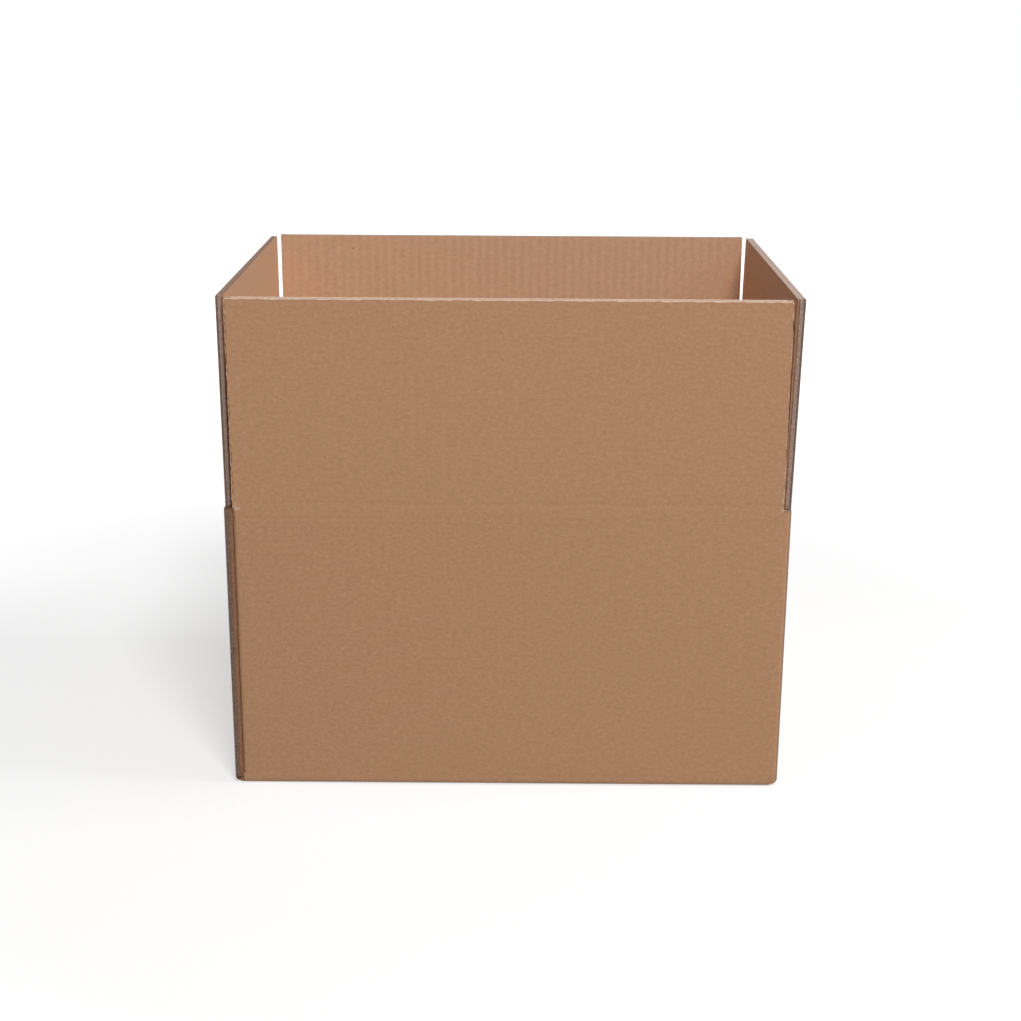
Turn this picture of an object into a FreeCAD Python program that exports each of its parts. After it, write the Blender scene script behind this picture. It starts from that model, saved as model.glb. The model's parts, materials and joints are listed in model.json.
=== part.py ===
import FreeCAD, Part
import math
import os

# An open shipping carton of double-wall corrugated board.
# One sheet is scored, slotted, folded into four walls and glued at a tab, with its bottom flaps folded shut.
# Millimetres. +X runs to the right along the long front wall, +Y to the back wall, +Z up.
# The origin is the middle of the base on the surface that the carton stands on.

# Board: three liners, with a fine flute next to the outside and a coarse flute next to the inside
liner = 0.3
medium = 0.3
crest = 0.3
fine_height = 1.5
fine_pitch = 4.93
coarse_height = 3.3
coarse_pitch = 7.4
board = 3 * liner + fine_height + coarse_height

# Carton
inside_length = 400.0
inside_width = 300.0
inside_height = 193.0

# Folds: the outer liner stretches round a fold, and the inner liner is creased nearly sharp
corner_radius = 4.0
bottom_radius = 4.0
inner_radius = 1.0
fold_root = 2.0
glue_line = 0.2

# Slots that part the flaps, with each flap's play beside its neighbours
# The slot knives crush the board along the flaps' sides
major_play = 0.6
minor_play = 1.2
slot_play = 0.4
crushed_edge = 10.0
slot_rise = 1.6
foot_rise = 5.0
seam_gap = 1.0

# Flaps: each turns about a line just outside the outer liner, midway between its two score lines
hinge_offset = 0.3
hinge_play = 0.3
stack_play = 0.3
score_spacing = 11.4
score_width = 2.6
score_depth_outside = 0.5
score_depth_inside = 1.4
left_lean = 0.3
right_lean = 1.0

# Joint tab on the front wall, crushed a little and glued inside the left wall
tab_width = 36.0
tab_thickness = 4.2
tab_taper = 15.0
tab_margin = 2.0
raw_edge_setback = 0.4

# Places that follow from the sizes above
inner_x = inside_length / 2
inner_y = inside_width / 2
outer_x = inner_x + board
outer_y = inner_y + board
knuckle = board + hinge_offset
floor_minor = board + glue_line
floor_top = floor_minor + board
minor_axis_z = floor_top + inside_height + knuckle
major_axis_z = minor_axis_z - hinge_offset + stack_play + knuckle
minor_wall_z = minor_axis_z - knuckle - hinge_play
major_wall_z = major_axis_z - knuckle - hinge_play
slot_z = major_axis_z + slot_rise
blank_top_z = major_axis_z + outer_y + hinge_offset - seam_gap / 2
major_half = inner_x - major_play
minor_half = inner_y - minor_play


def in_plan(z):
    """Turns (u, v) of a drawing seen from above into a point at height z."""
    return lambda u, v: FreeCAD.Vector(u, v, z)


def in_section(x):
    """Turns (u, v) of a drawing seen along X into a point: u runs along Y and v up."""
    return lambda u, v: FreeCAD.Vector(x, u, v)


def outline(corners, place):
    """A closed wire through corners of (u, v, radius), each rounded by a tangent arc of its radius."""
    points = [place(u, v) for u, v, radius in corners]
    turns = []
    for i, (u, v, radius) in enumerate(corners):
        here = points[i]
        back = (points[i - 1] - here).normalize()
        on = (points[(i + 1) % len(points)] - here).normalize()
        if radius == 0:
            turns.append((here, None, here))
            continue
        half_angle = back.getAngle(on) / 2
        reach = radius / math.tan(half_angle)
        middle = here + (back + on).normalize() * (radius / math.sin(half_angle) - radius)
        turns.append((here + back * reach, middle, here + on * reach))
    edges = []
    for i, (start, middle, end) in enumerate(turns):
        if middle is not None:
            edges.append(Part.Arc(start, middle, end).toShape())
        following = turns[(i + 1) % len(turns)][0]
        edges.append(Part.LineSegment(end, following).toShape())
    return Part.Wire(edges)


def prism(corners, place, along):
    """A solid drawn by corners of (u, v, radius) and drawn out along a vector."""
    return Part.Face(outline(corners, place)).extrude(along)


def block(x_range, y_range, z_range):
    """A plain cutting block between two X, two Y and two Z values."""
    low = FreeCAD.Vector(x_range[0], y_range[0], z_range[0])
    high = FreeCAD.Vector(x_range[1], y_range[1], z_range[1])
    size = high - low
    return Part.makeBox(size.x, size.y, size.z, low)


def wall_loop():
    """The four walls and the joint tab as one strip of board, seen from above and drawn up to the slot ends."""
    tab_outer_x = -inner_x + glue_line
    tab_inner_x = tab_outer_x + tab_thickness
    tab_end_y = -inner_y + tab_width
    raw_edge_y = -outer_y + raw_edge_setback
    corners = [
        (-outer_x, raw_edge_y, 0),
        (-outer_x, outer_y, corner_radius),
        (outer_x, outer_y, corner_radius),
        (outer_x, -outer_y, corner_radius),
        (tab_outer_x, -outer_y, corner_radius),
        (tab_outer_x, tab_end_y, 0),
        (tab_inner_x, tab_end_y, 0),
        (tab_inner_x, -inner_y, inner_radius),
        (inner_x, -inner_y, inner_radius),
        (inner_x, inner_y, inner_radius),
        (-inner_x, inner_y, inner_radius),
        (-inner_x, raw_edge_y, 0),
    ]
    return prism(corners, in_plan(foot_rise), FreeCAD.Vector(0, 0, slot_z - foot_rise))


def tab_trims():
    """What is trimmed off the tab above and below, so that it tapers and clears the folded flaps."""
    near_y = -inner_y
    far_y = near_y + tab_width + board
    fall = (far_y - near_y) * math.tan(math.radians(tab_taper))
    start_x = -inner_x + glue_line / 2
    along = FreeCAD.Vector(tab_thickness + board, 0, 0)
    top = minor_wall_z - tab_margin
    above = [(near_y, slot_z + board, 0), (near_y, top, 0), (far_y, top - fall, 0), (far_y, slot_z + board, 0)]
    foot = floor_top + tab_margin
    below = [(near_y, 0, 0), (near_y, foot, 0), (far_y, foot + fall, 0), (far_y, 0, 0)]
    return [prism(corners, in_section(start_x), along) for corners in (above, below)]


def bottom_fold(reach, floor, wall_face, half_width):
    """One bottom flap with the root of its wall, for a wall on the -Y side.

    reach is where the flap ends, floor the height of its underside, wall_face the wall's outer face.
    """
    root = floor + max(board + inner_radius, bottom_radius) + fold_root
    inner_face = wall_face + board
    corners = [
        (wall_face, root, 0),
        (wall_face, floor, bottom_radius),
        (reach, floor, 0),
        (reach, floor + board, 0),
        (inner_face, floor + board, inner_radius),
        (inner_face, root, 0),
    ]
    fold = prism(corners, in_section(-half_width), FreeCAD.Vector(2 * half_width, 0, 0))
    across = (wall_face - board, inner_face + glue_line / 2)
    window = block((-half_width, half_width), across, (0, root))
    return fold, window


def flap_window(start, end, wall_face, wall_z):
    """The room for one top flap in a wall on the -Y side, from start to end along it.

    Its sloping edge leaves the lower half of the lower score line's groove on the wall's outer face.
    """
    above = slot_z + board
    corners = [
        (-wall_face - board, above, 0),
        (-wall_face - board, wall_z - score_width / 2, 0),
        (-wall_face, wall_z - score_width / 2, 0),
        (-wall_face + score_depth_outside, wall_z, 0),
        (-wall_face + 2 * board, wall_z, 0),
        (-wall_face + 2 * board, above, 0),
    ]
    return prism(corners, in_section(start), FreeCAD.Vector(end - start, 0, 0))


def turned(shape, degrees):
    """A copy of a shape turned about the upright axis through the origin."""
    copy = shape.copy()
    copy.rotate(FreeCAD.Vector(0, 0, 0), FreeCAD.Vector(0, 0, 1), degrees)
    return copy


def box_body():
    """Walls, glued tab and closed bottom flaps, folded from one sheet."""
    body = wall_loop()
    for trim in tab_trims():
        body = body.cut(trim)

    # The flaps are parted from the walls at the lower score line and between the slots
    major_room = major_half + slot_play
    minor_room = minor_half + slot_play
    front_left = -inner_x + glue_line / 2
    windows = [
        (flap_window(front_left, major_room, outer_y, major_wall_z), 0),
        (flap_window(-major_room, major_room, outer_y, major_wall_z), 180),
        (flap_window(-minor_room, minor_room, outer_x, minor_wall_z), 90),
        (flap_window(-minor_room, minor_room, outer_x, minor_wall_z), -90),
    ]
    for window, degrees in windows:
        body = body.cut(turned(window, degrees))

    # Short bottom flaps are folded in first, and the long ones close under them and are glued on
    minor_reach = -outer_x - hinge_offset + (blank_top_z - minor_axis_z)
    minor_fold, minor_window = bottom_fold(minor_reach, floor_minor, -outer_x, minor_half)
    major_fold, major_window = bottom_fold(-seam_gap / 2, 0, -outer_y, major_half)
    folds = [(minor_fold, minor_window, -90), (minor_fold, minor_window, 90)]
    folds += [(major_fold, major_window, 0), (major_fold, major_window, 180)]
    for fold, window, degrees in folds:
        body = body.cut(turned(window, degrees))
    for fold, window, degrees in folds:
        body = body.fuse(turned(fold, degrees))
    return body.removeSplitter()


def channels(width, liner_y, height, pitch):
    """Three-sided channels of one fluted layer, seen from above, between the medium and its two liners."""
    count = int((width - 2 * crushed_edge) / pitch)
    half_base = (pitch - crest) / 2
    steepness = math.atan2(height - medium, pitch / 2)
    depth = height - medium / 2 - medium / 2 / math.cos(steepness)
    wires = []
    rows = [(liner_y, liner_y + depth), (liner_y + height, liner_y + height - depth)]
    for row, (base_y, apex_y) in enumerate(rows):
        copies = count - row
        for i in range(copies):
            x = (i - (copies - 1) / 2) * pitch
            points = [(x - half_base, base_y), (x + half_base, base_y), (x, apex_y)]
            corners = [FreeCAD.Vector(u, v, 0) for u, v in points]
            wires.append(Part.makePolygon(corners + corners[:1]))
    return wires


def flap(half_width, length, lean):
    """One flap, turning about the X axis through the origin and closing towards +Y.

    Its foot is a quarter-round knuckle about the hinge line. Above the upper score line the board keeps its
    open flutes, which show at the top edge. lean is how far it stands back from upright.
    """
    outer_face = hinge_offset
    inner_face = hinge_offset + board
    score_z = score_spacing / 2
    flute_z = score_z + score_width
    along = FreeCAD.Vector(2 * half_width, 0, 0)
    lower = prism(
        [
            (outer_face + score_depth_outside, -knuckle, 0),
            (outer_face, -knuckle + score_width / 2, 0),
            (outer_face, score_z - score_width / 2, 0),
            (outer_face + score_depth_outside, score_z, 0),
            (outer_face, score_z + score_width / 2, 0),
            (outer_face, flute_z, 0),
            (inner_face, flute_z, 0),
            (inner_face, score_z + score_width / 2, 0),
            (inner_face - score_depth_inside, score_z, 0),
            (inner_face, score_z - score_width / 2, 0),
            (inner_face, -knuckle, 0),
        ],
        in_section(-half_width),
        along,
    )
    round_foot = Part.makeCylinder(
        knuckle, 2 * half_width, FreeCAD.Vector(-half_width, 0, 0), FreeCAD.Vector(1, 0, 0)
    )
    square_foot = block((-half_width, half_width), (0, knuckle), (-knuckle, 0))
    lower = lower.cut(square_foot.cut(round_foot))

    # The fluted board, drawn up from the score line as its true section
    rim = [(-1, outer_face), (1, outer_face), (1, inner_face), (-1, inner_face)]
    corners = [FreeCAD.Vector(side * half_width, v, 0) for side, v in rim]
    section = [Part.makePolygon(corners + corners[:1])]
    fine_y = outer_face + liner
    section += channels(2 * half_width, fine_y, fine_height, fine_pitch)
    coarse_y = fine_y + fine_height + liner
    section += channels(2 * half_width, coarse_y, coarse_height, coarse_pitch)
    face = Part.makeFace(Part.makeCompound(section), "Part::FaceMakerBullseye")
    face.translate(FreeCAD.Vector(0, 0, flute_z))
    fluted = face.extrude(FreeCAD.Vector(0, 0, length - flute_z))

    board_flap = lower.fuse(fluted).removeSplitter()
    board_flap.rotate(FreeCAD.Vector(0, 0, 0), FreeCAD.Vector(1, 0, 0), lean)
    return board_flap


def on_wall(shape, distance, height, degrees):
    """Sets a flap on its wall: the hinge line at a distance from the middle and a height, then turned round."""
    placed = shape.copy()
    placed.translate(FreeCAD.Vector(0, -distance, height))
    return turned(placed, degrees)


major_length = blank_top_z - major_axis_z
minor_length = blank_top_z - minor_axis_z
major_hinge = outer_y + hinge_offset
minor_hinge = outer_x + hinge_offset

major_flap = flap(major_half, major_length, 0)
parts = {
    "box_body": box_body(),
    "front_flap": on_wall(major_flap, major_hinge, major_axis_z, 0),
    "back_flap": on_wall(major_flap, major_hinge, major_axis_z, 180),
    "right_flap": on_wall(flap(minor_half, minor_length, right_lean), minor_hinge, minor_axis_z, 90),
    "left_flap": on_wall(flap(minor_half, minor_length, left_lean), minor_hinge, minor_axis_z, -90),
}

os.makedirs("parts", exist_ok=True)
for name, shape in parts.items():
    solid = shape.Solids[0] if len(shape.Solids) == 1 else shape
    solid.exportStep(f"parts/{name}.step")
    box = solid.BoundBox
    print(name, "valid", solid.isValid(), "solids", len(shape.Solids), "volume", round(solid.Volume))
    print("  x", round(box.XMin, 2), round(box.XMax, 2), "y", round(box.YMin, 2), round(box.YMax, 2))
    print("  z", round(box.ZMin, 2), round(box.ZMax, 2))
print("hinge heights", round(major_axis_z, 3), round(minor_axis_z, 3), "tops", round(blank_top_z, 3))
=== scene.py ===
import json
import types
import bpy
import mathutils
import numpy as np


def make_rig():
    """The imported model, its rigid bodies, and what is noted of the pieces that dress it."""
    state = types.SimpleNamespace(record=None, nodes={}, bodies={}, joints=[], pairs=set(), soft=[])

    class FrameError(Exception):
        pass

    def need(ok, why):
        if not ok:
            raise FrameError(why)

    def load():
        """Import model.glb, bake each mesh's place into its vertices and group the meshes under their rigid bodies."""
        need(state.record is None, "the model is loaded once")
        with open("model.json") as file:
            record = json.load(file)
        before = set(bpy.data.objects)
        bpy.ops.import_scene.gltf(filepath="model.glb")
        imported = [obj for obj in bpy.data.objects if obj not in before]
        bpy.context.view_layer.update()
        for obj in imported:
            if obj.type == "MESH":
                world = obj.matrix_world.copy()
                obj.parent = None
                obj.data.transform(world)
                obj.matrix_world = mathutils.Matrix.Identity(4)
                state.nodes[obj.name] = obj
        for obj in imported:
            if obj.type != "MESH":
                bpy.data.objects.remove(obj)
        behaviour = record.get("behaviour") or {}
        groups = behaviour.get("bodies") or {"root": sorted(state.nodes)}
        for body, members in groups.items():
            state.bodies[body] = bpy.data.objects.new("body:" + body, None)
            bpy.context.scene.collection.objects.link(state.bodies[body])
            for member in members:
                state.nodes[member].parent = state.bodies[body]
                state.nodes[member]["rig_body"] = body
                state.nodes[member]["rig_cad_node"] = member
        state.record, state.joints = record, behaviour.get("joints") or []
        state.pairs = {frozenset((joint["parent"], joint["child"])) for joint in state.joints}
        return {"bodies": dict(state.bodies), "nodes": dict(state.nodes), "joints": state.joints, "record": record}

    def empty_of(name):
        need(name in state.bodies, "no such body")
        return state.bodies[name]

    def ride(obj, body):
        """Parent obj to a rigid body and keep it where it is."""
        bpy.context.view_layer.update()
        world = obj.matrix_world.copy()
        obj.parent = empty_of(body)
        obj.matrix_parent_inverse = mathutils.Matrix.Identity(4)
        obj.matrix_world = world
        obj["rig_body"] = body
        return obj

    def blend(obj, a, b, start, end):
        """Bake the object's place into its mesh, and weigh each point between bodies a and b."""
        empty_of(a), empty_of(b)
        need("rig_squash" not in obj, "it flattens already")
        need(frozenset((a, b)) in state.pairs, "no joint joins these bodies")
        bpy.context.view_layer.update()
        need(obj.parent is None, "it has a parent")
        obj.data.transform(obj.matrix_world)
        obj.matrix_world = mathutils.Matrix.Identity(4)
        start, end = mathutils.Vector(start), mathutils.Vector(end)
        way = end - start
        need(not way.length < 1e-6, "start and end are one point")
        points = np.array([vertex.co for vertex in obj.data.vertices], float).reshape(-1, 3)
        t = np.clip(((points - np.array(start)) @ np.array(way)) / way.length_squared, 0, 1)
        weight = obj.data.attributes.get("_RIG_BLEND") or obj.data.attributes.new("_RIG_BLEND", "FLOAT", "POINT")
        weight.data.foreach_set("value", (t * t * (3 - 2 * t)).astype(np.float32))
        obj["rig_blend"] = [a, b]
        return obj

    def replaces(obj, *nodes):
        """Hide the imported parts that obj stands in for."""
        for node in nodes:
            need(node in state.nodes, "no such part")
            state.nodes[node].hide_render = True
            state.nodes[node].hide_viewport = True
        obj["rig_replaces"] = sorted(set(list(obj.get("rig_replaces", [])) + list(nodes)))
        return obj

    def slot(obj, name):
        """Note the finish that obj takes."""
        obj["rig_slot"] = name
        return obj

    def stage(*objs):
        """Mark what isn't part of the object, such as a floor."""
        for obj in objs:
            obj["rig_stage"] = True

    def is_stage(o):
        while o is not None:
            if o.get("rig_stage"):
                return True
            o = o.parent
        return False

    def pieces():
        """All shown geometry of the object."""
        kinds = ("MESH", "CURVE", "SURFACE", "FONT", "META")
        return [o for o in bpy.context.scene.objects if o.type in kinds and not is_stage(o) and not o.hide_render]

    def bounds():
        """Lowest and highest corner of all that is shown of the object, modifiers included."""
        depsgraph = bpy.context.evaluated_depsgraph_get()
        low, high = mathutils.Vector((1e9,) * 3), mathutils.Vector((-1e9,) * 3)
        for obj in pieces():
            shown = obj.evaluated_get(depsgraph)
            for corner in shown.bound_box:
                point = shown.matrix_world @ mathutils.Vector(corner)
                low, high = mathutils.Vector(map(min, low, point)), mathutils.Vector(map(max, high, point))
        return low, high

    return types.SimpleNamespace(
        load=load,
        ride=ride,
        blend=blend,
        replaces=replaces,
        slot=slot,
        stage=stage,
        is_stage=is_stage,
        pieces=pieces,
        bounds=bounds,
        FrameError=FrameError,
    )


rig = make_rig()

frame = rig.load()

import json
import math
import random

import bmesh
import bpy
from mathutils import Matrix, Vector

cad_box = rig.bounds()

# The walls and the closed bottom: one sheet of double-wall board, three kraft liners glued on a fine fluted
# medium (outside) and a coarse one (inside). It is folded round four corners, its left panel glued over the
# front panel's tab. At the bottom the short flaps are folded in first and the long ones glued under them.
mm = 0.001
liner = 0.3 * mm
medium = 0.3 * mm
fine_height = 1.5 * mm
fine_pitch = 4.93 * mm
coarse_height = 3.3 * mm
coarse_pitch = 7.4 * mm
board = 3 * liner + fine_height + coarse_height
outer_liner_depth = liner / 2
fine_depth = liner + fine_height / 2
middle_liner_depth = liner + fine_height + liner / 2
coarse_depth = 2 * liner + fine_height + coarse_height / 2
inner_liner_depth = board - liner / 2
mediums = (
    ("fine", fine_depth, fine_pitch, fine_height),
    ("coarse", coarse_depth, coarse_pitch, coarse_height),
)
flute_steps = 8
fold_segments = 5
tight = 0.01 * mm
smooth_angle = math.radians(40)


def colour(hex_value):
    """An sRGB hex colour as linear red, green, blue and alpha."""
    parts = [int(hex_value[i:i + 2], 16) / 255 for i in (1, 3, 5)]
    linear = [c / 12.92 if c <= 0.04045 else ((c + 0.055) / 1.055) ** 2.4 for c in parts]
    return (*linear, 1.0)


def node(tree, kind, inputs=None, **settings):
    """Adds a node, sets its settings, and sets or links its inputs."""
    made = tree.nodes.new(kind)
    for name, value in settings.items():
        setattr(made, name, value)
    for socket, value in (inputs or {}).items():
        if isinstance(value, bpy.types.NodeSocket):
            tree.links.new(value, made.inputs[socket])
        else:
            made.inputs[socket].default_value = value
    return made


# the machine lays the fibres along the sheet, across the flutes, so the pattern is longer sideways
laid_scale = (0.7, 0.7, 1.0)
tone_range = (0.32, 0.68)
# a pale or a dark splinter of pulp here and there, about one in every 20 mm
fleck_spacing = 20 * mm
fleck_share = 0.035
fleck_strength = 0.45
dark_fleck = "#6B452C"
pale_fleck = "#E8CDB4"


def paper(name, tones, cloud_size, fibre_size, relief, roughness, specular):
    """Unbleached paper: cloudy pulp with stretched fibres in three tones, and a faint relief of fibres."""
    dark, middle, light = (colour(tone) for tone in tones)
    material = bpy.data.materials.new(name)
    material.use_nodes = True
    tree = material.node_tree
    shader = tree.nodes["Principled BSDF"]
    place = node(tree, "ShaderNodeTexCoord").outputs["Object"]
    laid = node(tree, "ShaderNodeMapping", {"Vector": place, "Scale": laid_scale}).outputs["Vector"]
    clouds = node(
        tree,
        "ShaderNodeTexNoise",
        {"Vector": laid, "Scale": 1 / cloud_size, "Detail": 4.0, "Roughness": 0.6},
    )
    fibres = node(
        tree,
        "ShaderNodeTexNoise",
        {"Vector": laid, "Scale": 1 / fibre_size, "Detail": 3.0, "Roughness": 0.7},
    )
    mixed = node(
        tree,
        "ShaderNodeMix",
        {"Factor": 0.5, "A": clouds.outputs["Fac"], "B": fibres.outputs["Fac"]},
        data_type="FLOAT",
    )
    ramp = node(tree, "ShaderNodeValToRGB", {"Fac": mixed.outputs["Result"]})
    for end, position, tone in zip(ramp.color_ramp.elements, tone_range, (dark, light)):
        end.position = position
        end.color = tone
    ramp.color_ramp.elements.new(0.5).color = middle
    cells = node(tree, "ShaderNodeTexVoronoi", {"Vector": laid, "Scale": 1 / fleck_spacing})
    fleck = node(
        tree,
        "ShaderNodeMath",
        {0: cells.outputs["Distance"], 1: fleck_share},
        operation="LESS_THAN",
    )
    share = node(tree, "ShaderNodeMath", {0: fleck.outputs[0], 1: fleck_strength}, operation="MULTIPLY")
    tint = node(tree, "ShaderNodeValToRGB", {"Fac": cells.outputs["Color"]})
    tint.color_ramp.elements[0].color = colour(dark_fleck)
    tint.color_ramp.elements[1].color = colour(pale_fleck)
    flecked = node(
        tree,
        "ShaderNodeMixRGB",
        {"Fac": share.outputs[0], "Color1": ramp.outputs["Color"], "Color2": tint.outputs["Color"]},
    )
    tree.links.new(flecked.outputs["Color"], shader.inputs["Base Color"])
    bump = node(
        tree,
        "ShaderNodeBump",
        {"Height": fibres.outputs["Fac"], "Strength": 1.0, "Distance": relief},
    )
    tree.links.new(bump.outputs["Normal"], shader.inputs["Normal"])
    shader.inputs["Roughness"].default_value = roughness
    shader.inputs["Specular IOR Level"].default_value = specular
    return material


# Unbleached kraft liner, pressed smooth on the outside: calm, warm brown, with short fibres that just show.
kraft_outside = paper(
    "kraft_liner_outside",
    ("#A97C58", "#B78863", "#C49773"),
    cloud_size=2.6 * mm,
    fibre_size=1.1 * mm,
    relief=0.03 * mm,
    roughness=0.5,
    specular=0.5,
)
# The inside liner is a paler paper with less pressing, so it is duller and rougher; it is made paler still as painted
# light, to lift the shade inside the carton.
kraft_inside = paper(
    "kraft_liner_inside",
    ("#D0A583", "#DAAF8D", "#E4B998"),
    cloud_size=2.6 * mm,
    fibre_size=1.1 * mm,
    relief=0.04 * mm,
    roughness=0.6,
    specular=0.3,
)
# The fluting medium is thin recycled paper, greyer and duller than the liners.
fluting = paper(
    "fluting_medium_recycled",
    ("#8A6E54", "#9A7E63", "#AA8E72"),
    cloud_size=4 * mm,
    fibre_size=0.9 * mm,
    relief=0.05 * mm,
    roughness=0.8,
    specular=0.25,
)
# A knife-cut edge shows the inside of the pulp, grey-brown and furry, pale on the flaps; its dark copy is painted
# shade, for the cut edges in the slots, the creases and on the left flap.
cut_edge_painted_shade = paper(
    "kraft_slot_edge",
    ("#6A5546", "#7C6554", "#8E7664"),
    cloud_size=2 * mm,
    fibre_size=0.6 * mm,
    relief=0.08 * mm,
    roughness=0.85,
    specular=0.2,
)
cut_edge = paper(
    "kraft_cut_edge",
    ("#A88F80", "#BFA696", "#D6BDAD"),
    cloud_size=2 * mm,
    fibre_size=0.6 * mm,
    relief=0.08 * mm,
    roughness=0.85,
    specular=0.2,
)


def choose(piece):
    """Selects one piece alone."""
    bpy.ops.object.select_all(action="DESELECT")
    piece.select_set(True)
    bpy.context.view_layer.objects.active = piece


def finish_step(piece, kind, **settings):
    """Adds a modifier to a piece and applies it."""
    choose(piece)
    made = piece.modifiers.new(kind.title(), kind)
    for name, value in settings.items():
        setattr(made, name, value)
    bpy.ops.object.modifier_apply(modifier=made.name)


def thicken(piece, thickness, face_material, edge_material):
    """Gives a sheet its thickness about its middle, with the cut edge's material round the rim."""
    piece.data.materials.clear()
    piece.data.materials.append(face_material)
    piece.data.materials.append(edge_material)
    finish_step(
        piece,
        "SOLIDIFY",
        thickness=thickness,
        offset=0.0,
        use_even_offset=True,
        material_offset_rim=1,
    )


def pick(piece, kind, *tests):
    """In edit mode, selects each vertex, edge or face whose corners all pass one of the tests."""
    bpy.ops.mesh.select_mode(type=kind)
    bpy.ops.mesh.select_all(action="DESELECT")
    shape = bmesh.from_edit_mesh(piece.data)
    members = {"VERT": shape.verts, "EDGE": shape.edges, "FACE": shape.faces}[kind]
    for member in members:
        corners = [member] if kind == "VERT" else member.verts
        if any(all(wanted(corner.co) for corner in corners) for wanted in tests):
            member.select_set(True)
    bmesh.update_edit_mesh(piece.data)


def on_line(point, along):
    """A test for places on the line through a point."""
    direction = along.normalized()
    return lambda place: (place - point).cross(direction).length < tight


def set_up(piece, name, run, along, middle):
    """Names a new unit primitive and lays it on two edge vectors about its middle."""
    piece.name = name
    piece.data.name = name
    normal = run.cross(along).normalized()
    piece.matrix_world = Matrix.Translation(middle) @ Matrix((run, along, normal)).transposed().to_4x4()
    bpy.ops.object.transform_apply(location=True, rotation=True, scale=True)


def folded_sheet(name, path, along, folds=()):
    """One sheet, begun flat between the first two points, drawn on edge by edge, and folded to its radii."""
    bpy.ops.object.select_all(action="DESELECT")
    bpy.ops.mesh.primitive_plane_add(size=1)
    piece = bpy.context.active_object
    run = path[1] - path[0]
    set_up(piece, name, run, along, path[0] + run / 2 + along / 2)
    bpy.ops.object.mode_set(mode="EDIT")
    for start, end in zip(path[1:], path[2:]):
        pick(piece, "EDGE", on_line(start, along))
        bpy.ops.mesh.extrude_region_move(TRANSFORM_OT_translate={"value": end - start})
    for place, radius in folds:
        pick(piece, "EDGE", on_line(place, along))
        bpy.ops.mesh.bevel(offset=radius, segments=fold_segments, affect="EDGES")
    bpy.ops.object.mode_set(mode="OBJECT")
    return piece


def waved_sheet(name, corner, run, along, inward, pitch, swing, to_the_edge=False):
    """A fluted sheet: one flute is bent to a wave, and repeated side by side along run.

    The rest of the run, under one flute, is left bare, or filled by drawing out the last crest to the edge.
    """
    step = run.normalized() * pitch
    count = int(run.length / pitch)
    rest = (run - step * count) / 2
    start = corner + rest
    bpy.ops.object.select_all(action="DESELECT")
    bpy.ops.mesh.primitive_grid_add(x_subdivisions=flute_steps, y_subdivisions=1, size=1)
    piece = bpy.context.active_object
    set_up(piece, name, step, along, start + step / 2 + along / 2)
    bpy.ops.object.mode_set(mode="EDIT")
    for i in range(flute_steps + 1):
        pick(piece, "VERT", on_line(start + step * i / flute_steps, along))
        shift = inward * swing / 2 * math.cos(2 * math.pi * i / flute_steps)
        bpy.ops.transform.translate(value=shift)
    bpy.ops.object.mode_set(mode="OBJECT")
    finish_step(
        piece,
        "ARRAY",
        count=count,
        use_relative_offset=False,
        use_constant_offset=True,
        constant_offset_displace=step,
        use_merge_vertices=True,
        merge_threshold=tight,
    )
    if to_the_edge:
        crest = inward * swing / 2
        bpy.ops.object.mode_set(mode="EDIT")
        for place, shift in ((start + crest, -rest), (start + step * count + crest, rest)):
            pick(piece, "EDGE", on_line(place, along))
            bpy.ops.mesh.extrude_region_move(TRANSFORM_OT_translate={"value": shift})
        bpy.ops.object.mode_set(mode="OBJECT")
    return piece


def joined(name, pieces):
    """Joins pieces into one object, smooth across its folds and flutes."""
    bpy.ops.object.select_all(action="DESELECT")
    for piece in pieces:
        piece.select_set(True)
    bpy.context.view_layer.objects.active = pieces[0]
    if len(pieces) > 1:
        bpy.ops.object.join()
    whole = bpy.context.active_object
    whole.name = name
    whole.data.name = name
    bpy.ops.object.shade_smooth_by_angle(angle=smooth_angle)
    return whole


# the places of walls, folds, score lines, slots, bottom flaps and tab, from the middle of the carton's base
inner_x = 200 * mm
inner_y = 150 * mm
outer_x = inner_x + board
outer_y = inner_y + board
outer_fold = 4 * mm
inner_fold = 1 * mm
foot_z = 5 * mm
slot_z = 218.2 * mm
long_hinge_z = 216.6 * mm
short_hinge_z = 210.6 * mm
# each hinge line lies just outside the wall's face, and the creases reach this far above and below it
hinge_out = 0.3 * mm
crease_reach = 8 * mm
blank_top = 372.09 * mm
# half the width of a flap, and the play that the slots leave beside it
long_half = 199.4 * mm
short_half = 148.8 * mm
slot_play = 0.4 * mm
short_floor = 5.9 * mm
long_root = 8.7 * mm
short_root = 14.6 * mm
seam_half = 0.5 * mm
short_reach = 44.5 * mm
tab_x = -199.8 * mm
tab_end = -114 * mm
tab_low = 13.6 * mm
tab_high = 202.3 * mm
tab_taper = math.tan(math.radians(15))
# the tab's board is pressed from 5.7 to 4.2 mm where it is glued
tab_pressed = 4.2 / 5.7
raw_edge = -155.3 * mm


def side(turn, distance):
    """Places on one side of the carton: u along the wall, depth in from its outer face, and height."""
    run = Vector((math.cos(turn), math.sin(turn), 0.0))
    inward = Vector((-math.sin(turn), math.cos(turn), 0.0))

    def at(u, depth, z):
        return run * u + inward * (depth - distance) + Vector((0.0, 0.0, z))

    return run, inward, at


sides = {
    "front": (side(0.0, outer_y), long_half, long_hinge_z),
    "right": (side(math.pi / 2, outer_x), short_half, short_hinge_z),
    "back": (side(math.pi, outer_y), long_half, long_hinge_z),
    "left": (side(-math.pi / 2, outer_x), short_half, short_hinge_z),
}
up = Vector((0.0, 0.0, 1.0))


def fold_radius(depth):
    """The radius of a fold at the middle of a liner."""
    return inner_fold + liner / 2 if depth > coarse_depth else outer_fold - depth


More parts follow.
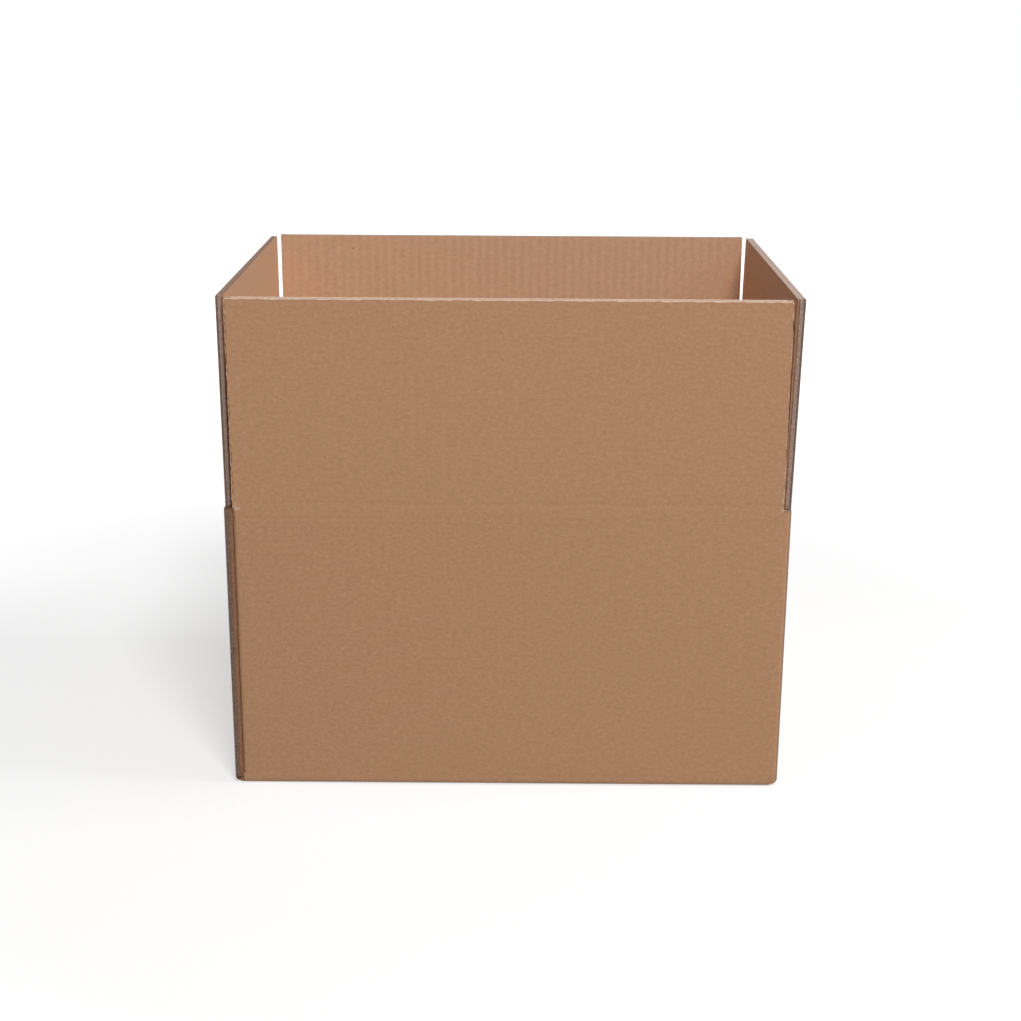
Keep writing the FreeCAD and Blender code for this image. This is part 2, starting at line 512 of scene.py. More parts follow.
def cut_windows(piece):
    """Parts the sheet along its score lines and slots, and takes out what the flaps and creases fill."""
    choose(piece)
    bpy.ops.object.mode_set(mode="EDIT")
    long_cut = long_hinge_z - crease_reach
    short_cut = short_hinge_z - crease_reach
    cuts = [(Vector((0, 0, z)), up) for z in (long_root, short_root, short_cut, long_cut)]
    for half in (long_half, long_half + slot_play):
        cuts += [(Vector((s * half, 0, 0)), Vector((1, 0, 0))) for s in (-1, 1)]
    for half in (short_half, short_half + slot_play):
        cuts += [(Vector((0, s * half, 0)), Vector((0, 1, 0))) for s in (-1, 1)]
    for place, normal in cuts:
        bpy.ops.mesh.select_all(action="SELECT")
        bpy.ops.mesh.bisect(plane_co=place, plane_no=normal)
    for low, high, half, foot, along, across in (
        (long_cut, slot_z, long_half + slot_play, inner_y, 0, 1),
        (0, long_root, long_half, inner_y, 0, 1),
        (short_cut, slot_z, short_half + slot_play, inner_x, 1, 0),
        (0, short_root, short_half, inner_x, 1, 0),
    ):
        pick(
            piece,
            "FACE",
            lambda p: low - tight <= p.z <= high + tight
            and abs(p[along]) <= half + tight
            and abs(p[across]) >= foot - tight,
        )
        bpy.ops.mesh.delete(type="FACE")
    bpy.ops.object.mode_set(mode="OBJECT")


tab_fold_reach = 2 * mm


def on_tab(place, near):
    """Whether a place is on the tab, from a line at its fold to its end."""
    return -inner_x < place.x < -inner_x + board and near < place.y < tab_end + tight


def trim_tab(piece):
    """Tapers the tab above and below, so that it clears the folded flaps."""
    choose(piece)
    bpy.ops.object.mode_set(mode="EDIT")
    for z, slope, keep in ((tab_high, -1, -1), (tab_low, 1, 1)):
        place = Vector((tab_x, -inner_y, z))
        normal = Vector((0, slope * -tab_taper, 1)).normalized()
        pick(piece, "FACE", lambda p: on_tab(p, -outer_y + outer_fold - tight))
        bpy.ops.mesh.bisect(plane_co=place, plane_no=normal)
        pick(
            piece,
            "FACE",
            lambda p: on_tab(p, -inner_y - tab_fold_reach) and (p - place).dot(normal) * keep <= tight,
        )
        bpy.ops.mesh.delete(type="FACE")
    bpy.ops.object.mode_set(mode="OBJECT")


# each step at a corner's foot: how far the sheet is drawn down, and how far it is pulled in
corner_steps = ((1.7 * mm, 0.92), (1.6 * mm, 0.78), (1.4 * mm, 0.5))


def draw_corners_down(piece):
    """Draws the sheet down at each corner's foot, between the bottom flaps, and pulls it in with them."""
    choose(piece)
    bpy.ops.object.mode_set(mode="EDIT")
    for drop, pull in corner_steps:
        foot = min(v.co.z for v in bmesh.from_edit_mesh(piece.data).verts)
        pick(piece, "EDGE", lambda p: abs(p.z - foot) < tight)
        bpy.ops.mesh.extrude_region_move(TRANSFORM_OT_translate={"value": -up * drop})
        for side_x in (-1, 1):
            for side_y in (-1, 1):
                pick(piece, "VERT", lambda p: p.z < foot - tight and p.x * side_x > 0 and p.y * side_y > 0)
                bpy.ops.transform.resize(
                    value=(pull, pull, 1.0),
                    center_override=Vector((side_x * long_half, side_y * short_half, foot)),
                )
    bpy.ops.object.mode_set(mode="OBJECT")


def bottom_places(name):
    """A bottom flap's height, where it leaves its wall, and how far in it reaches."""
    if name in ("front", "back"):
        return 0.0, long_root, outer_y - seam_half
    return short_floor, short_root, outer_x - short_reach


def bottom_flap(name, label, at, run, half, depth):
    """One liner of a bottom flap, from the wall's root round the fold and in to the flap's end."""
    floor, root, reach = bottom_places(name)
    path = [at(-half, depth, root), at(-half, depth, floor + depth), at(-half, reach, floor + depth)]
    return folded_sheet(f"{name}_bottom_{label}", path, run * 2 * half, [(path[1], fold_radius(depth))])


pressed_width = 5 * mm
pressed_recess = 0.35 * mm
pressed_run = 1.2 * mm
pressed_grain = 1.1 * mm
pressed_swing = 1.4 * mm


def ragged(piece, places, along, run_length, grain, swing, axis):
    """Breaks straight cut edges into short runs and pulls them in and out, as a worn knife leaves them."""
    tests = [on_line(place, along) for place in places]
    choose(piece)
    bpy.ops.object.mode_set(mode="EDIT")
    pick(piece, "EDGE", *tests)
    bpy.ops.mesh.subdivide(number_cuts=int(along.length / run_length))
    bpy.ops.object.mode_set(mode="OBJECT")
    group = piece.vertex_groups.new(name="cut")
    group.add([v.index for v in piece.data.vertices if any(test(v.co) for test in tests)], 1.0, "REPLACE")
    pattern = bpy.data.textures.new(piece.name, "CLOUDS")
    pattern.noise_scale = grain
    finish_step(
        piece,
        "DISPLACE",
        texture=pattern,
        texture_coords="LOCAL",
        direction=axis,
        strength=swing,
        mid_level=0.5,
        vertex_group=group.name,
    )
    piece.vertex_groups.clear()


def pressed_side(name, at, sign, half, low, high, depth, thickness, recess, faces, axis):
    """The flutes at a knife-cut side, pressed shut: a rough, nearly solid strip between two liners."""
    path = [at(sign * (half - pressed_width), depth, low), at(sign * (half - recess), depth, low)]
    rise = up * (high - low)
    strip = folded_sheet(name, path, rise)
    thicken(strip, thickness, faces, faces)
    ends = [at(sign * (half - recess), depth + face * thickness / 2, low) for face in (-1, 1)]
    ragged(strip, ends, rise, pressed_run, pressed_grain, pressed_swing, axis)
    return strip


# Pressed cut sides show the mediums: the coarse one paler, the fine one dark between its liners.
pressed_coarse = paper(
    "pressed_coarse_flutes",
    ("#8A7064", "#B09488", "#CFB6AA"),
    cloud_size=1.6 * mm,
    fibre_size=0.7 * mm,
    relief=0.1 * mm,
    roughness=0.85,
    specular=0.2,
)
pressed_fine = paper(
    "pressed_fine_flutes",
    ("#5E4B42", "#7C685D", "#9A8578"),
    cloud_size=1.6 * mm,
    fibre_size=0.7 * mm,
    relief=0.1 * mm,
    roughness=0.85,
    specular=0.2,
)
# Where the coarse flutes are partly torn out of a cut side, the strip stands back and is painted dark brown as shade.
painted_shade_torn_flutes = paper(
    "torn_out_flutes",
    ("#875C40", "#9B6F50", "#AF8364"),
    cloud_size=1.6 * mm,
    fibre_size=0.7 * mm,
    relief=0.1 * mm,
    roughness=0.85,
    specular=0.2,
)
# how far the torn strip stands back, how deep in the board it begins, and how far the inner liner is torn back
torn_recess = 1.2 * mm
torn_depth = 3.4 * mm
torn_back = 1.5 * mm


def torn_strips(tear, recess, kept_faces):
    """The strips of a cut side whose coarse flutes are torn out from a depth inwards, the torn strip painted in shade.
    """
    kept = tear - 2 * liner - fine_height
    gone = board - liner - tear
    return (
        (fine_depth, fine_height, pressed_recess, pressed_fine),
        (tear - kept / 2, kept, pressed_recess, kept_faces),
        (tear + gone / 2, gone, recess, painted_shade_torn_flutes),
    )


# Along the front right fold, where it turns away from the light, the liner is painted duller and greyer as shade.
fold_painted_shade = paper(
    "rubbed_kraft_fold",
    ("#8B725F", "#9B7F68", "#AC8F77"),
    cloud_size=1.6 * mm,
    fibre_size=0.7 * mm,
    relief=0.05 * mm,
    roughness=0.85,
    specular=0.1,
)
fold_shade_width = 1.8 * mm

body_layers = []
for label, depth, face in (
    ("outer_liner", outer_liner_depth, kraft_outside),
    ("middle_liner", middle_liner_depth, fluting),
    ("inner_liner", inner_liner_depth, kraft_inside),
):
    tab_face = tab_x + depth * tab_pressed
    plan = [
        (-outer_x + depth, raw_edge + (torn_back if label == "inner_liner" else 0.0)),
        (-outer_x + depth, outer_y - depth),
        (outer_x - depth, outer_y - depth),
        (outer_x - depth, -outer_y + depth),
        (tab_face, -outer_y + depth),
        (tab_face, tab_end),
    ]
    path = [Vector((x, y, foot_z)) for x, y in plan]
    corners = [(place, fold_radius(depth)) for place in path[1:-1]]
    sheet = folded_sheet("walls_" + label, path, up * (slot_z - foot_z), corners)
    cut_windows(sheet)
    trim_tab(sheet)
    draw_corners_down(sheet)
    parts = [sheet]
    for name, ((run, inward, at), half, hinge_z) in sides.items():
        parts.append(bottom_flap(name, label, at, run, half, depth))
    sheet = joined("sheet_" + label, parts)
    bpy.ops.object.mode_set(mode="EDIT")
    bpy.ops.mesh.select_all(action="SELECT")
    bpy.ops.mesh.remove_doubles(threshold=tight)
    bpy.ops.object.mode_set(mode="OBJECT")
    # the liners' cut edges in the slots and at the raw edge take the painted shade
    thicken(sheet, liner, face, cut_edge_painted_shade)
    if label == "outer_liner":
        # a narrow strip along the front right fold takes the painted shade
        sheet.data.materials.append(fold_painted_shade)
        bpy.ops.object.mode_set(mode="EDIT")
        fold_end = -outer_y + outer_fold + tight
        pick(sheet, "FACE", lambda p: p.x > outer_x - fold_shade_width and p.y < fold_end)
        sheet.active_material_index = len(sheet.data.materials) - 1
        bpy.ops.object.material_slot_assign()
        bpy.ops.object.mode_set(mode="OBJECT")
    body_layers.append(sheet)

# the flutes stop short of the folds, which press them flat
fold_room = 7 * mm
for name, ((run, inward, at), half, hinge_z) in sides.items():
    floor, root, reach = bottom_places(name)
    wall_half = (outer_x if name in ("front", "back") else outer_y) - fold_room
    wall_end = -raw_edge - pressed_width if name == "left" else wall_half
    wall_foot = floor + fold_room
    wall_height = hinge_z - crease_reach - wall_foot
    for label, depth, pitch, height in mediums:
        flutes = waved_sheet(
            name + "_wall_" + label,
            at(-wall_half, depth, wall_foot),
            run * (wall_half + wall_end),
            up * wall_height,
            inward,
            pitch,
            height - medium,
        )
        thicken(flutes, medium, fluting, cut_edge)
        body_layers.append(flutes)
        flutes = waved_sheet(
            name + "_bottom_" + label,
            at(-half, fold_room, floor + depth),
            run * 2 * half,
            inward * (reach - fold_room),
            up,
            pitch,
            height - medium,
        )
        thicken(flutes, medium, fluting, cut_edge)
        body_layers.append(flutes)

# At the corners between the slots the mediums are crushed flat by the folding.
corner_recess = 0.4 * mm
corner_back = 0.1 * mm
# each crushed medium: its depth in the board, its thickness and the radius of its fold
crushed_layers = ((fine_depth, 1.45 * mm, 2.9 * mm), (coarse_depth, 3.2 * mm, 1.7 * mm))
column_x = long_half + slot_play + corner_back
column_y = short_half + slot_play + corner_back
column_foot = foot_z + corner_recess
column_rise = up * (slot_z - corner_recess - column_foot)
for label, side_x, side_y in (("back_left", -1, 1), ("back_right", 1, 1), ("front_right", 1, -1)):
    for number, (depth, thickness, radius) in enumerate(crushed_layers):
        path = [
            Vector((side_x * (outer_x - depth), side_y * column_y, column_foot)),
            Vector((side_x * (outer_x - depth), side_y * (outer_y - depth), column_foot)),
            Vector((side_x * column_x, side_y * (outer_y - depth), column_foot)),
        ]
        crushed = folded_sheet(f"{label}_crushed_{number}", path, column_rise, [(path[1], radius)])
        thicken(crushed, thickness, fluting, pressed_coarse)
        body_layers.append(crushed)
# The left panel ends in the raw edge over the tab's fold: a knife cut, pressed shut like the slots.
left_at = sides["left"][0][2]
raw_top = slot_z - 1.5 * mm
for number, (depth, height, recess, faces) in enumerate(torn_strips(torn_depth, torn_recess, pressed_fine)):
    label = f"raw_edge_{number}"
    strip = pressed_side(label, left_at, 1, -raw_edge, foot_z, raw_top, depth, height, recess, faces, "Y")
    body_layers.append(strip)
# behind its foot the end of the tab's fold is crushed to a lump that closes the corner, painted dark brown as shade
crushed_left = -inner_x - 2.4 * mm
crushed_right = -inner_x + 1.2 * mm
crushed_y = -152.5 * mm
crushed_low = 0.5 * mm
crushed_rise = 8.5 * mm
crushed_thickness = 1.2 * mm
foot_end = [Vector((x, crushed_y, crushed_low)) for x in (crushed_left, crushed_right)]
foot_fill = folded_sheet("crushed_tab_end", foot_end, up * crushed_rise)
thicken(foot_fill, crushed_thickness, painted_shade_torn_flutes, painted_shade_torn_flutes)
body_layers.append(foot_fill)
carton_board = joined("carton_board", body_layers)
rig.ride(carton_board, "carton")
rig.replaces(carton_board, "box_body")
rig.slot(carton_board, "kraft_board")


# The top flaps: the sheet above the upper score line, parted by the slots, each free to turn on its crease.
# The slot knives press their sides shut along the flutes, and the trimming knife cuts the top across them.
# The right and the left flap don't stand quite upright, so they are turned about the Y axis.
lean = {"front": 0.0, "right": math.radians(-1.0), "back": 0.0, "left": math.radians(0.3)}
# the inner liner sinks a little between the crests of the coarse flute, which shows as faint stripes
washboard = 0.27 * mm
# the slots aren't quite even: how far a flap's first end is trimmed back, or left wider
end_trim = {"front": -0.4 * mm, "back": -0.4 * mm, "left": 3.0 * mm}
# the left flap was squeezed thinner towards its far end
squeeze_steps = 12
squeeze = 0.961
squeeze_from = 2.4 * mm
# worn knives leave the cut sides uneven, in runs of about 1.5 mm
cut_run = 1.6 * mm
cut_grain = 1.5 * mm
cut_swing = {"outer": 0.7 * mm, "middle": 0.8 * mm, "inner": 0.4 * mm}
top_recess = 0.1 * mm
top_floor = 4 * mm
side_top = blank_top - 0.3 * mm
# the left and right flaps are torn too, less deep, at their ends next to the front flap
flap_torn_recess = 0.8 * mm
flap_torn_depth = 4.1 * mm
plain_side = (
    (fine_depth, fine_height, pressed_recess, pressed_fine),
    (coarse_depth, coarse_height, pressed_recess, pressed_coarse),
)

# The trimming knife leaves the flutes' ends half shut and furry, pale with loose fibres; on the left flap they are
# painted darker as shade.
shaded_flutes = paper(
    "shaded_flute_ends",
    ("#86695B", "#99796A", "#AC8B7C"),
    cloud_size=1.3 * mm,
    fibre_size=0.6 * mm,
    relief=0.1 * mm,
    roughness=0.85,
    specular=0.2,
)
trimmed_flutes = paper(
    "trimmed_flute_ends",
    ("#B39B91", "#C4ADA3", "#D5BFB5"),
    cloud_size=1.3 * mm,
    fibre_size=0.6 * mm,
    relief=0.1 * mm,
    roughness=0.85,
    specular=0.2,
)
# Where a liner is torn its inner fibres stand out, paler than the pressed face.
torn_fibres = paper(
    "torn_kraft_fibres",
    ("#B8937A", "#D2AE93", "#E6C6AC"),
    cloud_size=1.5 * mm,
    fibre_size=0.5 * mm,
    relief=0.1 * mm,
    roughness=0.9,
    specular=0.15,
)
# Along the trimmed top edges the fibres are furred, and painted near white as a highlight where they catch the light.
fibres_painted_highlight = paper(
    "combed_kraft_fibres",
    ("#DCB498", "#F2D0B6", "#FFE8D6"),
    cloud_size=1.5 * mm,
    fibre_size=0.5 * mm,
    relief=0.1 * mm,
    roughness=0.9,
    specular=0.15,
)
# the front's flute ends take the painted highlight, the left's the painted shade
flute_ends = {
    "front": fibres_painted_highlight,
    "right": trimmed_flutes,
    "back": trimmed_flutes,
    "left": shaded_flutes,
}
# The cut through each medium is a pale wavy line.
medium_cut = paper(
    "trimmed_medium_edge",
    ("#D0B9AE", "#E4D0C6", "#F4E4DC"),
    cloud_size=1.5 * mm,
    fibre_size=0.5 * mm,
    relief=0.05 * mm,
    roughness=0.85,
    specular=0.2,
)
rim_height = 0.9 * mm
rim_grain = 3.5 * mm
rim_swing = 2.0 * mm
# the pressed face of a flap lies this much deeper than the rims and scraps on it
face_depth = 0.06 * mm
rim_depth = 0.03 * mm
rim_thickness = 0.03 * mm

# The slot knife also tears the outer liner: a ragged pale rim, and short slits beside the left edge, drawn as dark
# scraps painted as their shadows.
slit_painted_shadow = paper(
    "slit_in_the_liner",
    ("#54341F", "#66422A", "#785238"),
    cloud_size=1.5 * mm,
    fibre_size=0.5 * mm,
    relief=0.05 * mm,
    roughness=0.9,
    specular=0.1,
)
sliver_steps = 6
sliver_thickness = 0.05 * mm
sliver_tip = 0.15
slit_count = 24
slit_length = 4.4 * mm
slit_width = 0.5 * mm
slit_place = 0.7 * mm
slit_drift = (-0.4 * mm, 0.7 * mm)
slit_spread = (0.7, 1.3)
slit_random = random.Random(5)
right_rim_width = 0.5 * mm
left_rim_width = 0.4 * mm
torn_run = 1.3 * mm


def torn_rim(name, at, sign, half, low, high, width):
    """A narrow pale rim along one side of the outer liner, with both its sides ragged."""
    path = [at(sign * (half - width), rim_depth, low), at(sign * half, rim_depth, low)]
    rise = up * (high - low)
    rim = folded_sheet(name, path, rise)
    ragged(rim, path[:1], rise, torn_run, 2 * cut_grain, 8 * width, "X")
    ragged(rim, path[1:], rise, torn_run, cut_grain, cut_swing["outer"], "X")
    thicken(rim, rim_thickness, torn_fibres, torn_fibres)
    return rim


def sliver(name, middle, length, width, sag, faces):
    """A spindle-shaped scrap of paper on the face of the board, curved by its sag."""
    bpy.ops.object.select_all(action="DESELECT")
    bpy.ops.mesh.primitive_grid_add(x_subdivisions=sliver_steps, y_subdivisions=1, size=1)
    piece = bpy.context.active_object
    set_up(piece, name, length, width, middle)
    bpy.ops.object.mode_set(mode="EDIT")
    for i in range(sliver_steps + 1):
        place = middle + length * (i / sliver_steps - 0.5)
        belly = math.sin(math.pi * i / sliver_steps)
        share = sliver_tip + (1 - sliver_tip) * belly
        pick(piece, "VERT", on_line(place, width))
        bpy.ops.transform.resize(value=(share, share, share), center_override=place)
        bpy.ops.transform.translate(value=sag * belly)
    bpy.ops.object.mode_set(mode="OBJECT")
    thicken(piece, sliver_thickness, faces, faces)
    return piece


for name, ((run, inward, at), half, hinge_z) in sides.items():
    axis = "X" if name in ("front", "back") else "Y"
    low = hinge_z + crease_reach
    rise = up * (blank_top - low)
    start = end_trim.get(name, 0.0) - half
    width = run * (half - start)
    layers = []
    for label, depth, faces in (
        ("outer", outer_liner_depth + face_depth, kraft_outside),
        ("middle", middle_liner_depth, fluting),
    ):
        ends = [at(start, depth, low), at(half, depth, low)]
        sheet = folded_sheet(f"{name}_{label}", ends, rise)
        ragged(sheet, ends, rise, cut_run, cut_grain, cut_swing[label], axis)
        thicken(sheet, liner, faces, cut_edge)
        layers.append(sheet)
    corner = at(start, inner_liner_depth, low)
    sheet = waved_sheet(name + "_inner", corner, width, rise, inward, coarse_pitch, washboard, True)
    crest = inner_liner_depth + washboard / 2
    ends = [at(start, crest, low), at(half, crest, low)]
    ragged(sheet, ends, rise, cut_run, cut_grain, cut_swing["inner"], axis)
    thicken(sheet, liner, kraft_inside, cut_edge)
    layers.append(sheet)
    for sign, end in ((-1, -start), (1, half)):
        strips = plain_side
        if (name, sign) in (("left", 1), ("right", -1)):
            strips = torn_strips(flap_torn_depth, flap_torn_recess, pressed_coarse)
        for number, (depth, height, recess, faces) in enumerate(strips):
            label = f"{name}_side_{sign}_{number}"
            strip = pressed_side(label, at, sign, end, low, side_top, depth, height, recess, faces, axis)
            layers.append(strip)
    first = start + pressed_width
    last = half - pressed_width
    for label, depth, pitch, height in mediums:
        corner = at(first, depth, low)
        across = run * (last - first)
        sheet = waved_sheet(f"{name}_{label}", corner, across, rise, inward, pitch, height - medium)
        # the left flap's mediums take the dark cut edge as painted shade
        thicken(sheet, medium, fluting, cut_edge_painted_shade if name == "left" else medium_cut)
        layers.append(sheet)
        # the knife pushes the flutes' ends shut, so their hollows are shallow at the top
        floor_z = blank_top - top_recess - top_floor
        ends = [at(first, depth, floor_z), at(last, depth, floor_z)]
        sheet = folded_sheet(f"{name}_{label}_floor", ends, up * top_floor)
        thicken(sheet, height, fluting, flute_ends[name])
        layers.append(sheet)
    # the trimmed edge of the outer liner is furred: a narrow pale rim with an uneven lower side, its paleness a
    # painted highlight
    rim_foot = blank_top - rim_height
    path = [at(start, rim_depth, rim_foot), at(half, rim_depth, rim_foot)]
    rim = folded_sheet(name + "_rim", path, up * rim_height)
    ragged(rim, path[:1], width, cut_run, rim_grain, rim_swing, "Z")
    thicken(rim, rim_thickness, fibres_painted_highlight, fibres_painted_highlight)
    layers.append(rim)
    if name == "front":
        layers.append(torn_rim("right_rim", at, 1, half, low, blank_top, right_rim_width))
        layers.append(torn_rim("left_rim", at, -1, -start, low, blank_top, left_rim_width))
        # the slits beside the left edge: dark scraps whose colour is painted shadow
        place = at(start + slit_place, rim_depth, low)
        slit = sliver("slit", place, up * slit_length, run * slit_width, Vector(), slit_painted_shadow)
        step = (blank_top - low) / (slit_count + 1)
        for i in range(slit_count):
            copy = slit.copy()
            copy.data = slit.data.copy()
            bpy.context.collection.objects.link(copy)
            shift = run * slit_random.uniform(*slit_drift)
            rank = i + slit_random.uniform(*slit_spread)
            copy.data.transform(Matrix.Translation(shift + up * step * rank))
            layers.append(copy)
        bpy.data.objects.remove(slit)
    flap = joined(name + "_flap_board", layers)
    bpy.ops.object.mode_set(mode="EDIT")
    if name == "left":
        far_end = at(start, 0, 0)
        for i in range(squeeze_steps):
            reach = width.length * (i + 1) / squeeze_steps
            pick(
                flap,
                "VERT",
                lambda p: (p - far_end).dot(run) < reach and (p - far_end).dot(inward) > squeeze_from,
            )
            bpy.ops.transform.resize(value=(squeeze, 1.0, 1.0), center_override=at(0, squeeze_from, 0))
    bpy.ops.mesh.select_all(action="SELECT")
    bpy.ops.transform.rotate(
        value=lean[name],
        orient_axis="Y",
        orient_type="GLOBAL",
        center_override=at(0, -hinge_out, hinge_z),
    )
    bpy.ops.object.mode_set(mode="OBJECT")
    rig.ride(flap, name + "_flap_body")
    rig.replaces(flap, name + "_flap")
    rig.slot(flap, "kraft_flap_board")


# The creases: each top flap bends in a band of pressed board between two score lines. The scoring wheels
# press the outer liner in a little and the inner liner in deep, and crush the flutes between them.
score_rows = 32
score_half = 3.0 * mm
score_heights = (-6.15 * mm, 5.7 * mm)
bend_reach = 6.3 * mm
side_clear = 0.02 * mm
# each layer: its depth, how far the score lines press it in, its thickness, its paper, and how far short of
# the slots it stops
crease_layers = (
    ("outer", outer_liner_depth + face_depth, 0.12 * mm, liner, kraft_outside, 0.0),
    ("fine", fine_depth, 0.15 * mm, 1.2 * mm, fluting, 0.4 * mm),
    ("middle", middle_liner_depth, 0.2 * mm, liner, fluting, 0.0),
    ("coarse", coarse_depth, -0.7 * mm, 2.3 * mm, fluting, 0.4 * mm),
    ("inner", inner_liner_depth, -1.4 * mm, liner, kraft_inside, 0.0),
)
# each tuft of loose fibres: its place along the front flap, height over the hinge, length, width and sag
tufts = (
    (-196.3 * mm, 2.2 * mm, 6.0 * mm, 1.9 * mm, -0.8 * mm),
    (-197.4 * mm, 3.2 * mm, 2.8 * mm, 1.3 * mm, 0.3 * mm),
    (-198.3 * mm, 6.0 * mm, 0.6 * mm, 3.6 * mm, 0.0 * mm),
    (-197.0 * mm, 5.6 * mm, 0.45 * mm, 3.0 * mm, 0.0 * mm),
    (199.0 * mm, 3.2 * mm, 3.6 * mm, 1.5 * mm, -0.5 * mm),
    (199.4 * mm, 4.3 * mm, 1.8 * mm, 1.0 * mm, 0.3 * mm),
)
tab_gap = 2.0 * mm


def pressed(height):
    """How far the score lines press the board at a height above the hinge line, from 0 to 1."""
    nearest = min(abs(height - line) for line in score_heights)
    return (1 + math.cos(math.pi * nearest / score_half)) / 2 if nearest < score_half else 0.0


for name, ((run, inward, at), half, hinge_z) in sides.items():
    wide = half + slot_play - side_clear
    heights = [crease_reach * (2 * i / score_rows - 1) for i in range(score_rows + 1)]
    layers = []
    for label, depth, dent, thickness, faces, narrow in crease_layers:
        start = -wide + narrow
        path = [at(start, depth + dent * pressed(height), hinge_z + height) for height in heights]
        sheet = folded_sheet(name + "_crease_" + label, path, run * (2 * wide - 2 * narrow))
        # the band's cut ends in the slots take the painted shade
        thicken(sheet, thickness, faces, cut_edge_painted_shade)
        layers.append(sheet)
    if name == "front":
        # fibres pulled out by the knife stand as tufts at the slots' ends
        for number, (u, height, length, width, sag) in enumerate(tufts):
            along = run * length if length > width else up * width
            across = up * width if length > width else run * length
            place = at(u, rim_depth, hinge_z + height)
            layers.append(sliver(f"tuft_{number}", place, along, across, up * sag, torn_fibres))
    crease = joined(name + "_crease_band", layers)
    bpy.ops.object.mode_set(mode="EDIT")
    # above the slot's end the band is as narrow as its flap
    centre = at(0, 0, 0)
    for sign in (-1, 1):
        pick(
            crease,
            "VERT",
            lambda p: (p - centre).dot(run) * sign > half - slot_play - tight and p.z > slot_z,
        )
        bpy.ops.transform.translate(value=run * -sign * (slot_play - side_clear))
    # the front band stops short of the left panel's raw edge, over the dark groove of the tab's fold
    if name == "front":
        pick(crease, "VERT", lambda p: (p - centre).dot(run) < slot_play * 2 - half and p.z < slot_z + tight)
        bpy.ops.transform.translate(value=run * tab_gap)
    # the band leans with its flap, a little more at each row
    for height in heights[1:]:
        pick(crease, "VERT", lambda p: p.z > hinge_z + height - crease_reach / score_rows)
        bpy.ops.transform.rotate(
            value=lean[name] / score_rows,
            orient_axis="Y",
            orient_type="GLOBAL",
            center_override=at(0, -hinge_out, hinge_z),
        )
    bpy.ops.object.mode_set(mode="OBJECT")
    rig.slot(crease, "kraft_flap_board")
    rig.blend(crease, "carton", name + "_flap_body", at(0, 0, hinge_z - bend_reach), at(0, 0, hinge_z + bend_reach))


# The floor and the light: a plain white floor, a large soft key lamp high in front, a little to the right, a
# smaller lamp on the right, and a white surround that fills the shadows.
floor_size = 12
bpy.ops.object.select_all(action="DESELECT")
bpy.ops.mesh.primitive_plane_add(size=floor_size)
floor_plane = bpy.context.active_object
floor_plane.name = "studio_floor"
floor_paint = bpy.data.materials.new("matt_white_floor")
floor_paint.use_nodes = True
floor_shader = floor_paint.node_tree.nodes["Principled BSDF"]
floor_shader.inputs["Base Color"].default_value = colour("#C4C4C4")
floor_shader.inputs["Roughness"].default_value = 0.9
# the camera sees the floor lifted to white, less near the carton, where its soft shadow stays
floor_lift_near = 0.5
lift_start = 0.5
lift_end = 1.6
floor_tree = floor_paint.node_tree
floor_ray = node(floor_tree, "ShaderNodeLightPath")
floor_seen = node(
    floor_tree,
    "ShaderNodeMath",
    {0: floor_ray.outputs["Is Camera Ray"], 1: floor_ray.outputs["Is Glossy Ray"]},
    operation="ADD",
    use_clamp=True,
)
floor_place = node(floor_tree, "ShaderNodeTexCoord").outputs["Object"]
floor_distance = node(floor_tree, "ShaderNodeVectorMath", {0: floor_place}, operation="LENGTH")
floor_lift = node(
    floor_tree,
    "ShaderNodeMapRange",
    {
        "Value": floor_distance.outputs["Value"],
        "From Min": lift_start,
        "From Max": lift_end,
        "To Min": floor_lift_near,
        "To Max": 1.0,
    },
)
floor_glow = node(
    floor_tree,
    "ShaderNodeMath",
    {0: floor_seen.outputs[0], 1: floor_lift.outputs["Result"]},
    operation="MULTIPLY",
)
floor_shader.inputs["Emission Color"].default_value = (1.0, 1.0, 1.0, 1.0)
floor_tree.links.new(floor_glow.outputs[0], floor_shader.inputs["Emission Strength"])
floor_plane.data.materials.append(floor_paint)
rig.stage(floor_plane)

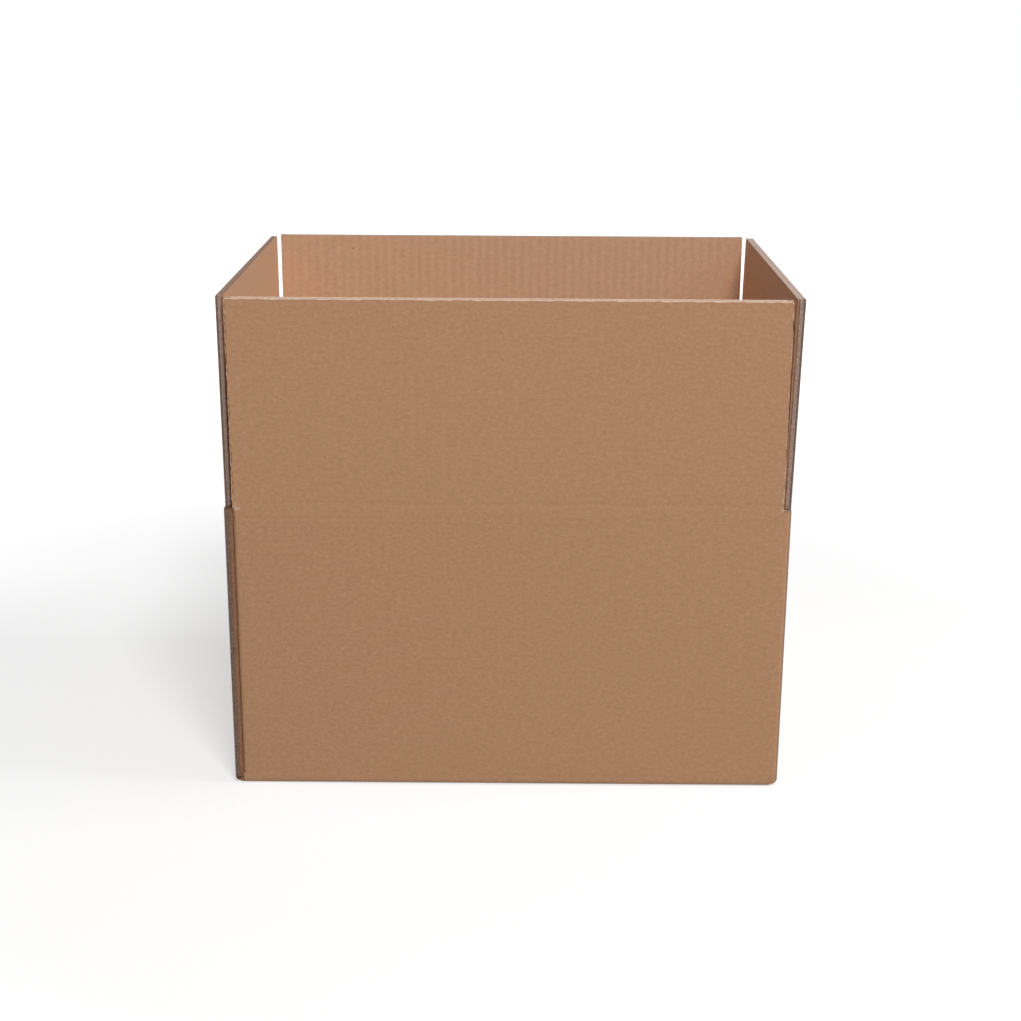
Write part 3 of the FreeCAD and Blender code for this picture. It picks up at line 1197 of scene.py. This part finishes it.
world = bpy.data.worlds.new("white_surround")
bpy.context.scene.world = world
world.use_nodes = True
surround = world.node_tree
background = surround.nodes["Background"]
surround_light = 0.17
path_kind = node(surround, "ShaderNodeLightPath")
seen = node(
    surround,
    "ShaderNodeMath",
    {0: path_kind.outputs["Is Camera Ray"], 1: path_kind.outputs["Is Glossy Ray"]},
    operation="ADD",
    use_clamp=True,
)
seen = node(
    surround,
    "ShaderNodeMath",
    {0: seen.outputs[0], 1: path_kind.outputs["Is Transmission Ray"]},
    operation="ADD",
    use_clamp=True,
)
strength = node(
    surround,
    "ShaderNodeMapRange",
    {"Value": seen.outputs[0], "To Min": surround_light, "To Max": 1.0},
)
background.inputs["Color"].default_value = (1.0, 1.0, 1.0, 1.0)
surround.links.new(strength.outputs["Result"], background.inputs["Strength"])


def lamp(name, place, aim, size, power):
    """A square soft lamp at a place, turned towards a point."""
    bpy.ops.object.light_add(type="AREA", location=place)
    made = bpy.context.active_object
    made.name = name
    made.data.size = size
    made.data.energy = power
    made.rotation_mode = "QUATERNION"
    made.rotation_quaternion = (Vector(aim) - Vector(place)).to_track_quat("-Z", "Y")


lamp_aim = (0.0, 0.0, 0.2)
key_place = (0.9, -3.4, 4.6)
key_size = 1.6
key_power = 202.0
right_place = (3.0, -0.2, 2.6)
right_size = 1.2
right_power = 45.0
lamp("key_lamp", key_place, lamp_aim, key_size, key_power)
lamp("right_lamp", right_place, lamp_aim, right_size, right_power)


# The camera stands at the photograph's place: fitted to the carton's corners and creases, in a picture of
# 1021 by 1021, with the long side of the sensor 36 mm.
picture_width = 1021
focal_pixels = 1742.9
sensor_width = 36.0
camera_place = Vector((0.00671, -1.36061, 0.58932))
pitch, yaw, roll = (math.radians(a) for a in (17.119, -0.229, 0.328))
forward = Vector((math.sin(yaw) * math.cos(pitch), math.cos(yaw) * math.cos(pitch), -math.sin(pitch)))
right = Vector((math.cos(yaw), -math.sin(yaw), 0.0))
above = right.cross(forward)
right, above = (
    right * math.cos(roll) + above * math.sin(roll),
    above * math.cos(roll) - right * math.sin(roll),
)
bpy.ops.object.camera_add()
camera = bpy.context.active_object
camera.name = "photo_camera"
camera.data.sensor_width = sensor_width
camera.data.lens = sensor_width * focal_pixels / picture_width
turned = Matrix((right, above, -forward)).transposed().to_4x4()
camera.matrix_world = Matrix.Translation(camera_place) @ turned
bpy.context.scene.camera = camera

bpy.context.scene.view_settings.view_transform = "Standard"

shown_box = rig.bounds()
with open("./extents.json", "w") as size_file:
    json.dump({"cad": [list(corner) for corner in cad_box], "visual": [list(corner) for corner in shown_box]}, size_file)
